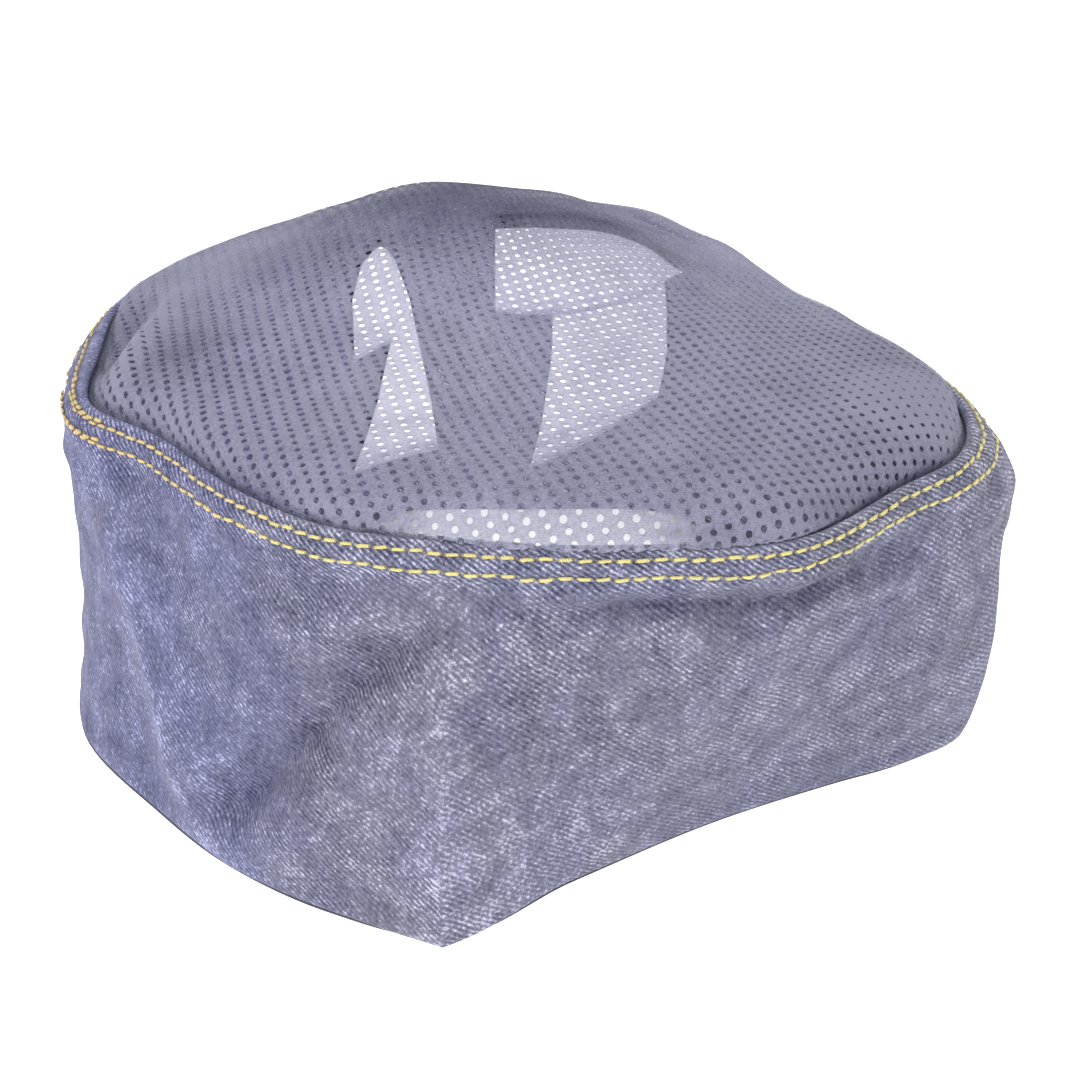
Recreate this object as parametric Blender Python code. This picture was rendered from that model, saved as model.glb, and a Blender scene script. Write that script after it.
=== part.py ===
"""Chef skull cap: a doubled denim side band, a mesh crown and three blank labels.

The cap stands open on its hem. X is to the wearer's side, -Y is the side that the folded
front corner points to, and Z is up. The hem's lower edge is at Z = 0.
"""
import math

import bmesh
import bpy
import numpy as np

# Driving sizes, in metres
BAND_RADIUS = 0.093
BAND_HEIGHT = 0.0795
BAND_WALL = 0.002
SHOULDER_WIDTH = 0.0052
SHOULDER_DROP = 0.0080
CREASE_DEPTH = 0.006
CROWN_WALL = 0.001
CROWN_RISE = 0.026
ROLL_HEIGHT = 0.0038
ROLL_WIDTH = 0.0040
ROLL_LEAN = 0.0035
LABEL_WALL = 0.001
SEAM_GAP = 0.0003
CROWN_GAP = 0.0008

# How far a fold takes to rise from its lowest share of the height and to die at its highest
FOLD_START = 0.15
FOLD_END = 0.30

# Small steps over which slopes are read, as a share of the girth and as a level of the band
PLACE_STEP = 0.002
LEVEL_STEP = 0.02

# How finely the faceted solids are cut
BAND_COLUMNS = 96
WALL_ROWS = 5
SHOULDER_ROWS = 3
CROWN_RINGS = ((0.90, 1), (0.76, 1), (0.56, 2), (0.36, 4), (0.16, 8))
LABEL_COLUMNS = 8

# The crown's rolled edge. Columns: way in from the band's top edge as a share of ROLL_WIDTH,
# lean over the band as a share of its own lean there, and lift as a share of ROLL_HEIGHT.
ROLL_ROWS = (
    (0.20, 0.0, 0.15),
    (0.20, 0.6, 0.50),
    (0.40, 1.0, 0.85),
    (1.00, 0.7, 1.00),
)

# Upright lines of the band, anticlockwise from the front fold. Columns: name, hem x and y,
# shoulder x and y and outward bow as shares of BAND_RADIUS, the shoulder's turn inwards as a
# share of SHOULDER_WIDTH, then the crown's edge as shares of ROLL_HEIGHT and ROLL_LEAN.
STATIONS = (
    ("front fold", -0.20, -0.97, -0.19, -0.84, 0.00, 1.0, 1.0, 0.8),
    ("front", 0.07, -0.78, 0.17, -0.87, 0.00, 1.0, 1.0, 1.0),
    ("front right", 0.40, -0.56, 0.54, -0.82, 0.00, 1.0, 1.0, 0.6),
    ("right front", 0.69, -0.41, 0.78, -0.59, 0.01, 1.0, 1.0, 0.0),
    ("right front edge", 0.86, -0.33, 0.92, -0.45, 0.02, 1.1, 1.0, 0.0),
    ("right corner", 1.00, -0.22, 0.98, -0.27, 0.05, 1.3, 1.0, 0.0),
    ("right side", 1.01, 0.02, 0.97, -0.04, 0.05, 1.2, 1.0, 0.0),
    ("right back", 0.90, 0.44, 0.77, 0.38, 0.02, 1.0, 1.0, 0.0),
    ("back right corner", 0.68, 0.82, 0.53, 0.84, 0.02, 1.0, 1.1, 0.0),
    ("back right", 0.38, 0.99, 0.32, 1.06, 0.01, 1.0, 1.2, 0.0),
    ("back", -0.04, 1.01, -0.06, 1.10, 0.01, 1.0, 1.2, 0.0),
    ("back left", -0.46, 0.99, -0.50, 1.05, 0.01, 1.0, 1.2, 0.0),
    ("back left corner", -0.92, 0.82, -0.91, 0.86, 0.01, 1.0, 1.0, 0.0),
    ("left back", -1.11, 0.50, -1.10, 0.56, 0.00, 1.0, 1.0, 0.0),
    ("left", -1.17, 0.10, -1.145, 0.16, -0.030, 2.1, 1.0, 0.0),
    ("left corner", -1.11, -0.21, -1.08, -0.14, -0.020, 1.4, 1.0, 0.0),
    ("left front", -0.88, -0.52, -0.85, -0.36, 0.00, 1.0, 1.0, 0.0),
    ("front left", -0.68, -0.73, -0.66, -0.60, 0.00, 1.0, 1.0, 0.0),
    ("front left edge", -0.45, -0.885, -0.45, -0.77, 0.00, 1.0, 1.0, 0.3),
)

# Folds that run up the band. Columns: name, place at the hem and at the shoulder as shares of
# the girth, lowest and highest share of the height, outward rise as a share of CREASE_DEPTH,
# half width as a share of the girth, and whether its crest is sharp.
FOLDS = (
    ("front fold", 0.000, 0.000, -0.20, 0.90, 0.60, 0.012, True),
    ("left ridge", 0.905, 0.833, 0.00, 0.95, 0.50, 0.020, False),
    ("diagonal valley", 0.897, 1.015, 0.02, 0.95, -0.85, 0.017, False),
    ("right corner", 0.225, 0.225, -0.10, 0.90, 0.35, 0.016, True),
)

# Dents in the band. Columns: name, place as a share of the girth, share of the height, half
# sizes along and up as shares of the girth and the height, and inward depth as a share of
# CREASE_DEPTH.
DENTS = (
    ("under the right shoulder", 0.105, 0.85, 0.075, 0.075, 0.75),
    ("under the left shoulder", 0.950, 0.84, 0.030, 0.070, 0.20),
    ("bulge over the right corner", 0.240, 0.84, 0.040, 0.140, -1.00),
)

# Swells of the crown. Columns: name, middle x and y and half sizes as shares of BAND_RADIUS,
# and height as a share of CROWN_RISE.
SWELLS = (
    ("whole crown", 0.00, 0.00, 9.00, 9.00, 0.30),
    ("back hump", -0.26, 0.54, 0.58, 0.50, 0.76),
    ("left back pocket", -0.90, 0.50, 0.28, 0.40, -0.30),
    ("right back fall", 0.60, 0.60, 0.30, 0.40, -0.15),
)

# Labels inside the back of the band, and how many other labels each lies over.
LABELS = (("care_label", 0), ("label_main", 1), ("side_label", 0))

# Level sections of the labels, from their tops down. Columns: label, level as in band_point,
# and the places of the two edges as shares of the girth.
LABEL_SECTIONS = (
    ("care_label", 1.60, 0.444, 0.496),
    ("care_label", 1.30, 0.440, 0.496),
    ("care_label", 0.93, 0.441, 0.498),
    ("care_label", 0.56, 0.444, 0.501),
    ("care_label", 0.45, 0.454, 0.503),
    ("care_label", 0.31, 0.479, 0.506),
    ("care_label", 0.18, 0.504, 0.511),
    ("label_main", 1.60, 0.436, 0.522),
    ("label_main", 1.30, 0.426, 0.522),
    ("label_main", 0.93, 0.438, 0.523),
    ("label_main", 0.82, 0.466, 0.523),
    ("side_label", 1.60, 0.569, 0.576),
    ("side_label", 1.30, 0.563, 0.582),
    ("side_label", 0.97, 0.560, 0.585),
    ("side_label", 0.66, 0.556, 0.587),
    ("side_label", 0.60, 0.555, 0.573),
    ("side_label", 0.28, 0.551, 0.587),
    ("side_label", 0.20, 0.580, 0.592),
)


def column(table, index):
    """One column of a table as an array."""
    return np.array([row[index] for row in table], dtype=float)


def station_places():
    """The share of the girth at which each upright line stands, and 1 for the first again."""
    total = np.zeros(len(STATIONS) + 1)
    for x_index in (1, 3):
        line = np.stack([column(STATIONS, x_index), column(STATIONS, x_index + 1)], axis=1)
        steps = np.linalg.norm(np.roll(line, -1, axis=0) - line, axis=1)
        total[1:] += np.cumsum(steps)
    return total / total[-1]


PLACES = station_places()
SHOULDER_LEVELS = np.linspace(1, 2, SHOULDER_ROWS + 1)


def around(values, place):
    """A smooth closed curve through the stations' values, read at shares of the girth."""
    count = len(values)
    place = np.mod(place, 1.0)
    left = np.clip(np.searchsorted(PLACES, place, side="right") - 1, 0, count - 1)
    width = np.diff(PLACES)
    slope = np.diff(np.append(values, values[0])) / width
    before = np.roll(slope, 1)
    before_width = np.roll(width, 1)
    tangent = (before * width + slope * before_width) / (width + before_width)
    right = (left + 1) % count
    t = (place - PLACES[left]) / width[left]
    start = (1 + 2 * t) * (1 - t) ** 2 * values[left] + t * t * (3 - 2 * t) * values[right]
    bend = t * (1 - t) ** 2 * tangent[left] - t * t * (1 - t) * tangent[right]
    return start + bend * width[left]


def smooth_step(value):
    """0 below 0, 1 above 1 and smooth between."""
    value = np.clip(value, 0.0, 1.0)
    return value * value * (3 - 2 * value)


def fold_rise(place, height):
    """How far the folds and dents move the band outwards, at shares of girth and height."""
    rise = np.zeros(np.broadcast(place, height).shape)
    for _, hem, top, low, high, depth, width, sharp in FOLDS:
        gap = np.mod(place - hem - (top - hem) * np.clip(height, 0, 1) + 0.5, 1.0) - 0.5
        across = np.exp(-np.abs(gap) / width) if sharp else np.exp(-(gap / width) ** 2)
        fade = smooth_step((height - low) / FOLD_START) * smooth_step((high - height) / FOLD_END)
        rise += depth * across * fade
    for _, middle, level, along, up, depth in DENTS:
        gap = np.mod(place - middle + 0.5, 1.0) - 0.5
        rise -= depth * np.exp(-(gap / along) ** 4) * np.exp(-((height - level) / up) ** 2)
    return rise * CREASE_DEPTH


def outline(place, first):
    """The plan of the hem (first column 1) or of the shoulder (first column 3), in metres."""
    line = [around(column(STATIONS, first + axis), place) for axis in (0, 1)]
    return BAND_RADIUS * np.stack(line, axis=-1)


def outward(place):
    """The level direction that points out of the band, midway up."""
    reach = 2 * PLACE_STEP
    ahead, behind = (outline(place + step, 1) + outline(place + step, 3) for step in (reach, -reach))
    along = ahead - behind
    along /= np.linalg.norm(along, axis=-1, keepdims=True)
    return np.stack([along[..., 1], -along[..., 0]], axis=-1)


def band_point(place, level):
    """The band's outer face: level 0 is the hem, 1 the shoulder's foot and 2 the top edge."""
    place, level = np.broadcast_arrays(np.asarray(place, float), np.asarray(level, float))
    wall = np.clip(level, 0.0, 1.0)
    turn = np.clip(level - 1.0, 0.0, 1.0) * math.pi / 2
    z = (BAND_HEIGHT - SHOULDER_DROP) * wall + SHOULDER_DROP * np.sin(turn)
    turn_in = SHOULDER_WIDTH * around(column(STATIONS, 6), place)
    push = BAND_RADIUS * around(column(STATIONS, 5), place) * 4 * wall * (1 - wall)
    push = push + fold_rise(place, z / BAND_HEIGHT) - turn_in * (1 - np.cos(turn))
    plan = outline(place, 1) * (1 - wall)[..., None] + outline(place, 3) * wall[..., None]
    plan = plan + outward(place) * push[..., None]
    return np.concatenate([plan, z[..., None]], axis=-1)


def band_inside(place, level, depth):
    """A point at a depth under the band's outer face, square to the face."""
    across = band_point(place + PLACE_STEP, level) - band_point(place - PLACE_STEP, level)
    up = band_point(place, level + LEVEL_STEP) - band_point(place, level - LEVEL_STEP)
    normal = np.cross(across, up)
    at_hem = np.broadcast_to(np.asarray(level) <= 0.0, normal.shape[:-1])
    normal[at_hem, 2] = 0.0
    normal /= np.linalg.norm(normal, axis=-1, keepdims=True)
    return band_point(place, level) - normal * depth


def swell(plan):
    """The crown's rise over its edge at a point in plan, before it is faded to the edge."""
    share = plan / BAND_RADIUS
    rise = np.zeros(share.shape[:-1])
    for _, x, y, reach_x, reach_y, height in SWELLS:
        gap = ((share[..., 0] - x) / reach_x) ** 2 + ((share[..., 1] - y) / reach_y) ** 2
        rise += height * np.exp(-gap)
    return rise * CROWN_RISE


def crown_point(place, share, lift):
    """The crown's outer face at a share of the way from its middle to the band's top edge."""
    edge = band_point(place, 2.0)
    plan = edge[..., :2] * share[..., None]
    roll = 1 + (around(column(STATIONS, 7), place) - 1) * np.clip(share, 0, 1)
    fade = np.sqrt(np.clip(1 - share * share, 0, 1))
    z = BAND_HEIGHT + ROLL_HEIGHT * roll * lift + swell(plan) * fade
    return np.concatenate([plan, z[..., None]], axis=-1)


def crown_rows(place):
    """Rows of points over the crown's outer face, from its tucked edge to its middle."""
    tuck = BAND_WALL + SEAM_GAP
    rows = [band_inside(place, np.full_like(place, level), tuck) for level in SHOULDER_LEVELS[1:]]
    edge = band_point(place, 2.0)
    reach = np.linalg.norm(edge[:, :2], axis=1)
    lean = ROLL_LEAN * around(column(STATIONS, 8), place)
    neck = edge - np.append(outward(place) * CROWN_GAP, np.full((len(place), 1), BAND_WALL / 2), axis=1)
    rows.append(neck)
    for inward, out, lift in ROLL_ROWS:
        share = 1 - (inward * ROLL_WIDTH - out * lean) / reach
        rows.append(crown_point(place, share, lift))
    rows += [crown_point(place, np.full_like(place, ring), 1.0) for ring, _ in CROWN_RINGS]
    return np.stack(rows)


def sheet_normals(rows):
    """Unit normals of a sheet given as rows of points that each close on themselves."""
    along = np.roll(rows, -1, axis=1) - np.roll(rows, 1, axis=1)
    normal = np.cross(along, np.gradient(rows, axis=0))
    return normal / np.linalg.norm(normal, axis=-1, keepdims=True)


def add_ring(mesh, points):
    """Vertices for one row of points."""
    return [mesh.verts.new(point) for point in points]


def bridge(mesh, outer, inner):
    """Faces between two rings, the second with as many vertices as the first or half as many."""
    ratio = len(outer) // len(inner)
    for index, corner in enumerate(inner):
        after = inner[(index + 1) % len(inner)]
        side = [outer[(index * ratio + step) % len(outer)] for step in range(ratio + 1)]
        if ratio == 1:
            mesh.faces.new((side[0], side[1], after, corner))
        else:
            mesh.faces.new((side[0], side[1], corner))
            mesh.faces.new((side[1], after, corner))
            mesh.faces.new((side[1], side[2], after))


def cap(mesh, ring, point):
    """A fan of faces from a ring to one point."""
    middle = mesh.verts.new(point)
    for index, corner in enumerate(ring):
        mesh.faces.new((corner, ring[(index + 1) % len(ring)], middle))


def add_object(name, mesh, material):
    """Turn finished faces into a named object with smooth round faces and one material."""
    bmesh.ops.recalc_face_normals(mesh, faces=mesh.faces[:])
    data = bpy.data.meshes.new(name)
    mesh.to_mesh(data)
    mesh.free()
    data.materials.append(material)
    data.shade_smooth()
    data.set_sharp_from_angle(angle=math.radians(50))
    made = bpy.data.objects.new(name, data)
    bpy.context.scene.collection.objects.link(made)
    return made


def make_material(name, colour, roughness):
    """A plain cloth material."""
    material = bpy.data.materials.new(name)
    material.use_nodes = True
    shader = material.node_tree.nodes["Principled BSDF"]
    shader.inputs["Base Color"].default_value = (*colour, 1.0)
    shader.inputs["Roughness"].default_value = roughness
    shader.inputs["Metallic"].default_value = 0.0
    return material


def make_band(material):
    """The doubled band as one wall: up its outer face, over its top edge and down inside."""
    place = np.arange(BAND_COLUMNS) / BAND_COLUMNS
    levels = np.append(np.linspace(0, 1, WALL_ROWS + 1), SHOULDER_LEVELS[1:])
    outer = [band_point(place, np.full_like(place, level)) for level in levels]
    inner = [band_inside(place, np.full_like(place, level), BAND_WALL) for level in levels]
    mesh = bmesh.new()
    rings = [add_ring(mesh, row) for row in outer + inner[::-1]]
    for index, ring in enumerate(rings):
        bridge(mesh, ring, rings[(index + 1) % len(rings)])
    return add_object("side_band", mesh, material)


def make_crown(material):
    """The mesh crown as a thin shell, with its edge tucked under the band's top edge."""
    place = np.arange(BAND_COLUMNS) / BAND_COLUMNS
    outer = crown_rows(place)
    inner = outer - sheet_normals(outer) * CROWN_WALL
    middle = np.array([0.0, 0.0, BAND_HEIGHT + ROLL_HEIGHT + swell(np.zeros(2))])
    strides = [1] * (len(outer) - len(CROWN_RINGS)) + [stride for _, stride in CROWN_RINGS]
    mesh = bmesh.new()
    edges = []
    for rows, depth in ((outer, 0.0), (inner, CROWN_WALL)):
        rings = [add_ring(mesh, row[::stride]) for row, stride in zip(rows, strides)]
        for first, second in zip(rings, rings[1:]):
            bridge(mesh, first, second)
        cap(mesh, rings[-1], middle - np.array([0.0, 0.0, depth]))
        edges.append(rings[0])
    bridge(mesh, edges[0], edges[1])
    return add_object("crown_mesh", mesh, material)


def make_label(name, under, material):
    """A thin label that hangs inside the band from under the crown's tucked edge."""
    near = BAND_WALL + SEAM_GAP + CROWN_WALL + SEAM_GAP + under * (LABEL_WALL + SEAM_GAP)
    sections = [row[1:] for row in LABEL_SECTIONS if row[0] == name]
    level, start, end = (column(sections, index) for index in range(3))
    mesh = bmesh.new()
    rings = []
    for across in np.linspace(0, 1, LABEL_COLUMNS + 1):
        place = start + (end - start) * across
        back = band_inside(place, level, near)
        front = band_inside(place, level, near + LABEL_WALL)
        rings.append(add_ring(mesh, np.concatenate([back, front[::-1]])))
    for first, second in zip(rings, rings[1:]):
        bridge(mesh, first, second)
    mesh.faces.new(rings[0])
    mesh.faces.new(rings[-1])
    return add_object(name, mesh, material)


def centre_in_plan(objects):
    """Move every mesh so that the cap's box is centred on the Z axis."""
    corners = [vertex.co for made in objects for vertex in made.data.vertices]
    middle = [(min(c[axis] for c in corners) + max(c[axis] for c in corners)) / 2 for axis in (0, 1)]
    for made in objects:
        for vertex in made.data.vertices:
            vertex.co.x -= middle[0]
            vertex.co.y -= middle[1]


def main():
    """Build the cap."""
    for old in list(bpy.data.objects):
        bpy.data.objects.remove(old)
    denim = make_material("indigo_denim", (0.18, 0.19, 0.30), 0.90)
    knit = make_material("navy_mesh_knit", (0.13, 0.13, 0.22), 0.80)
    satin = make_material("white_label_cloth", (0.75, 0.75, 0.80), 0.55)
    objects = [make_band(denim), make_crown(knit)]
    objects += [make_label(name, under, satin) for name, under in LABELS]
    centre_in_plan(objects)


main()
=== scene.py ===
"""Looks of the chef skull cap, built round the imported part.

The driving sizes and the shape functions repeat the part's own, so that every piece lies where
its solid does. Lengths are in metres, in the part's frame.
"""
import math

import bpy
import numpy as np
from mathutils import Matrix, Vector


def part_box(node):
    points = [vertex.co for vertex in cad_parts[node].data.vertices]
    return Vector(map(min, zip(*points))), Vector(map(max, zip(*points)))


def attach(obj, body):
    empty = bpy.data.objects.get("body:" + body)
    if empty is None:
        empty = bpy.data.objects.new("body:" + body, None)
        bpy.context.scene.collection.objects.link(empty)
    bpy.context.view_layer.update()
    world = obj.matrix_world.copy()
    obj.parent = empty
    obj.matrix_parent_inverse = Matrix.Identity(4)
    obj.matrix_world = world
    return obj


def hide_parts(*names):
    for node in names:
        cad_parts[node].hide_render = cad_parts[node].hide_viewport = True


# Driving sizes of the part, in metres
BAND_RADIUS = 0.093
BAND_HEIGHT = 0.0795
BAND_WALL = 0.002
SHOULDER_WIDTH = 0.0052
SHOULDER_DROP = 0.0080
CREASE_DEPTH = 0.006
CROWN_WALL = 0.001
CROWN_RISE = 0.026
ROLL_HEIGHT = 0.0038
ROLL_WIDTH = 0.0040
ROLL_LEAN = 0.0035
LABEL_WALL = 0.001
SEAM_GAP = 0.0003

# How far a fold takes to rise from its lowest share of the height and to die at its highest
FOLD_START = 0.15
FOLD_END = 0.30

# Small steps over which slopes are read, as a share of the girth and as a level of the band
PLACE_STEP = 0.002
LEVEL_STEP = 0.02

# The crown's edge where it is tucked under the band. Columns: level as in band_point, and depth
# under the band's outer face as a share of BAND_WALL.
TUCK_ROWS = (
    (1.42, 1.18),
    (1.66, 1.18),
    (1.88, 0.85),
    (1.93, 0.20),
)

# The crown's rolled edge. Columns: way out from the band's top edge as a share of ROLL_WIDTH,
# more way out where the edge leans over the band as a share of its lean, lift as a share of
# ROLL_HEIGHT, and more lift where it leans.
ROLL_ROWS = (
    (0.08, 0.46, 0.09, -0.07),
    (0.00, 0.80, 0.21, -0.36),
    (-0.12, 0.96, 0.34, -0.21),
    (-0.32, 0.94, 0.50, 0.08),
    (-0.62, 0.85, 0.68, 0.13),
    (-1.05, 0.77, 0.87, 0.13),
)
CROWN_RINGS = (0.90, 0.83, 0.76, 0.66, 0.56, 0.46, 0.36, 0.26, 0.16, 0.08)

# Upright lines of the band, anticlockwise from the front fold. Columns: name, hem x and y,
# shoulder x and y and outward bow as shares of BAND_RADIUS, the shoulder's turn inwards as a
# share of SHOULDER_WIDTH, then the crown's edge as shares of ROLL_HEIGHT and ROLL_LEAN.
STATIONS = (
    ("front fold", -0.20, -0.97, -0.19, -0.84, 0.00, 1.0, 1.0, 0.8),
    ("front", 0.07, -0.78, 0.17, -0.87, 0.00, 1.0, 1.0, 1.0),
    ("front right", 0.40, -0.56, 0.54, -0.82, 0.00, 1.0, 1.0, 0.6),
    ("right front", 0.69, -0.41, 0.78, -0.59, 0.01, 1.0, 1.0, 0.0),
    ("right front edge", 0.86, -0.33, 0.92, -0.45, 0.02, 1.1, 1.0, 0.0),
    ("right corner", 1.00, -0.22, 0.98, -0.27, 0.05, 1.3, 1.0, 0.0),
    ("right side", 1.01, 0.02, 0.97, -0.04, 0.05, 1.2, 1.0, 0.0),
    ("right back", 0.90, 0.44, 0.77, 0.38, 0.02, 1.0, 1.0, 0.0),
    ("back right corner", 0.68, 0.82, 0.53, 0.84, 0.02, 1.0, 1.1, 0.0),
    ("back right", 0.38, 0.99, 0.32, 1.06, 0.01, 1.0, 1.2, 0.0),
    ("back", -0.04, 1.01, -0.06, 1.10, 0.01, 1.0, 1.2, 0.0),
    ("back left", -0.46, 0.99, -0.50, 1.05, 0.01, 1.0, 1.2, 0.0),
    ("back left corner", -0.92, 0.82, -0.91, 0.86, 0.01, 1.0, 1.0, 0.0),
    ("left back", -1.11, 0.50, -1.10, 0.56, 0.00, 1.0, 1.0, 0.0),
    ("left", -1.17, 0.10, -1.145, 0.16, -0.030, 2.1, 1.0, 0.0),
    ("left corner", -1.11, -0.21, -1.08, -0.14, -0.020, 1.4, 1.0, 0.0),
    ("left front", -0.88, -0.52, -0.85, -0.36, 0.00, 1.0, 1.0, 0.0),
    ("front left", -0.68, -0.73, -0.66, -0.60, 0.00, 1.0, 1.0, 0.0),
    ("front left edge", -0.45, -0.885, -0.45, -0.77, 0.00, 1.0, 1.0, 0.3),
)

# Folds that run up the band. Columns: name, place at the hem and at the shoulder as shares of
# the girth, lowest and highest share of the height, outward rise as a share of CREASE_DEPTH,
# half width as a share of the girth, and whether its crest is sharp.
FOLDS = (
    ("front fold", 0.000, 0.000, -0.20, 0.90, 0.60, 0.012, True),
    ("left ridge", 0.905, 0.833, 0.00, 0.95, 0.50, 0.020, False),
    ("diagonal valley", 0.897, 1.015, 0.02, 0.95, -0.85, 0.017, False),
    ("right corner", 0.225, 0.225, -0.10, 0.90, 0.35, 0.016, True),
)

# Dents in the band. Columns: name, place as a share of the girth, share of the height, half
# sizes along and up as shares of the girth and the height, and inward depth as a share of
# CREASE_DEPTH.
DENTS = (
    ("under the right shoulder", 0.105, 0.85, 0.075, 0.075, 0.75),
    ("under the left shoulder", 0.950, 0.84, 0.030, 0.070, 0.20),
    ("bulge over the right corner", 0.240, 0.84, 0.040, 0.140, -1.00),
)

# Swells of the crown. Columns: name, middle x and y and half sizes as shares of BAND_RADIUS,
# and height as a share of CROWN_RISE.
SWELLS = (
    ("whole crown", 0.00, 0.00, 9.00, 9.00, 0.30),
    ("back hump", -0.26, 0.54, 0.58, 0.50, 0.76),
    ("left back pocket", -0.90, 0.50, 0.28, 0.40, -0.30),
    ("right back fall", 0.60, 0.60, 0.30, 0.40, -0.15),
)

# Soft creases of the crown. Columns: name, x and y at one end and at the other as shares of
# BAND_RADIUS, half width and rise in metres, and the painted shade there, below 0 painted light.
CROWN_CREASES = (
    ("ridge at the left", -0.950, -0.24, -0.885, 0.44, 0.0030, 0.0020, -1.40),
    ("pocket at the left", -1.030, -0.12, -0.985, 0.46, 0.0044, -0.0030, 0.90),
    ("roll on the left front", -0.880, -0.16, -0.540, -0.64, 0.0024, 0.0010, -0.25),
    ("fold at the back", 0.230, 0.81, 0.450, 0.63, 0.0026, -0.0014, 1.00),
    ("over the wide label", -0.240, 0.27, 0.420, 0.66, 0.0046, 0.0, 0.90),
    ("puff at the right", 0.700, -0.46, 0.850, -0.12, 0.0090, 0.0008, -1.50),
    ("left back", -0.930, 0.20, -0.700, 0.70, 0.0130, 0.0, -0.50),
    ("front bulge", -0.400, -0.72, 0.600, -0.66, 0.0100, 0.0010, 0.25),
    ("seam at the right", 0.480, -0.82, 0.950, -0.38, 0.0034, -0.0005, 0.90),
    ("seam at the left front", -0.920, -0.26, -0.420, -0.78, 0.0030, -0.0004, 0.70),
)

# Labels inside the back of the band. Columns: name, how many other labels it lies over, how much
# painted shade darkens it, below 0 painted light, and how it is held.
LABELS = (
    ("care_label", 0, 0.20, "hung"),
    ("label_main", 1, 0.14, "hung"),
    ("side_label", 0, -0.15, "folded"),
)

# Rows of the labels' sheets, from the top down. Columns: label, sheet, place and height in metres
# of the right edge, height midway, place and height of the left edge.
LABEL_ROWS = (
    ("care_label", 0, 0.4400, 0.0700, 0.0700, 0.4970, 0.0700),
    ("care_label", 0, 0.4405, 0.0592, 0.0570, 0.4980, 0.0550),
    ("care_label", 0, 0.4425, 0.0480, 0.0460, 0.4990, 0.0440),
    ("care_label", 0, 0.4485, 0.0360, 0.0320, 0.5040, 0.0260),
    ("care_label", 0, 0.4490, 0.0348, 0.0222, 0.5100, 0.0130),
    ("label_main", 0, 0.4220, 0.0735, 0.0805, 0.5220, 0.0820),
    ("label_main", 0, 0.4330, 0.0700, 0.0690, 0.5225, 0.0700),
    ("label_main", 0, 0.4440, 0.0655, 0.0573, 0.5230, 0.0577),
    ("side_label", 0, 0.5690, 0.0765, 0.0772, 0.5750, 0.0765),
    ("side_label", 0, 0.5650, 0.0716, 0.0716, 0.5745, 0.0716),
    ("side_label", 0, 0.5600, 0.0608, 0.0608, 0.5700, 0.0608),
    ("side_label", 0, 0.5575, 0.0500, 0.0502, 0.5695, 0.0505),
    ("side_label", 0, 0.5535, 0.0325, 0.0330, 0.5780, 0.0335),
    ("side_label", 0, 0.5515, 0.0188, 0.0165, 0.5920, 0.0138),
    ("side_label", 1, 0.5695, 0.0765, 0.0772, 0.5750, 0.0765),
    ("side_label", 1, 0.5665, 0.0725, 0.0728, 0.5800, 0.0722),
    ("side_label", 1, 0.5650, 0.0620, 0.0620, 0.5860, 0.0620),
    ("side_label", 1, 0.5690, 0.0505, 0.0480, 0.5875, 0.0460),
)
LABEL_LEAN = 0.62

# Fine creases in the denim, drawn as straight lines on the flat band. Columns: name, place and
# share of the height at one end, the same at the other, half width in metres, outward rise in
# metres.
CREASES = (
    ("core of the diagonal valley", 0.905, 0.02, 1.006, 0.92, 0.0024, -0.0014),
    ("fill of the diagonal valley", 0.900, -0.05, 1.010, 0.98, 0.0100, 0.0018),
    ("crest of the left ridge", 0.902, 0.02, 0.843, 0.84, 0.0020, 0.0006),
    ("core under the right shoulder", 0.020, 0.86, 0.185, 0.80, 0.0020, -0.0012),
    ("fill under the right shoulder", 0.000, 0.86, 0.200, 0.80, 0.0070, 0.0012),
    ("streak on the right", 0.100, 0.75, 0.175, 0.66, 0.0020, -0.0005),
    ("turned hem on the right", 0.015, 0.17, 0.215, 0.23, 0.0009, 0.0002),
    ("turned hem on the left", 0.985, 0.17, 0.860, 0.20, 0.0009, 0.0002),
)

# Topstitching: levels of the two rows, and sizes in metres
STITCH_LEVELS = (1.55, 1.22)
STITCH_PITCH = 0.00335
STITCH_SHARE = 0.95
THREAD_RADIUS = 0.00031
STITCH_SLANT = 0.020
BACKTACK = (0.782, 0.836)

# The dressed band's cloth
BAND_COLUMNS = 720
EDGE_LEVEL = 1.74
EDGE_RADIUS = 0.001
EDGE_STEPS = 7

# The crown's open knit: steps along a row of holes and down a column of them, the radii of the
# holes in turn along a row, and how many corners each has
ROW_STEP = (0.0027, 0.0013)
COLUMN_STEP = (0.00095, -0.00245)
HOLE_RADII = (0.00072, 0.00065)
HOLE_CORNERS = 8

# How far from the seam the holes grow and the knit gets a painted shade, as a share of the way
# out, and how far from the middle holes are laid out, in metres
SEAM_REACH = 0.016
LATTICE_REACH = 0.16

# How strongly the columns of holes lean apart from side to side, and the flat y where they don't
LATTICE_PULL = 0.14
LATTICE_STILL = -0.055

# A cell's corners round its hole, in steps along the rows and down the columns
CELL_CORNERS = (
    (1 / 3, 1 / 3),
    (-1 / 3, 2 / 3),
    (-2 / 3, 1 / 3),
    (-1 / 3, -1 / 3),
    (1 / 3, -2 / 3),
    (2 / 3, -1 / 3),
)

# Places where the knit is drawn close. Columns: name, x and y and reach as shares of BAND_RADIUS,
# and how much smaller its holes are.
CLOSE_KNIT = (
    ("over the wide label", 0.04, 0.40, 0.17, 0.55),
    ("puff at the right", 0.82, -0.27, 0.18, 0.40),
    ("back right", 0.36, 0.62, 0.20, 0.30),
    ("left back", -0.85, 0.42, 0.24, 0.30),
)

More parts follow.
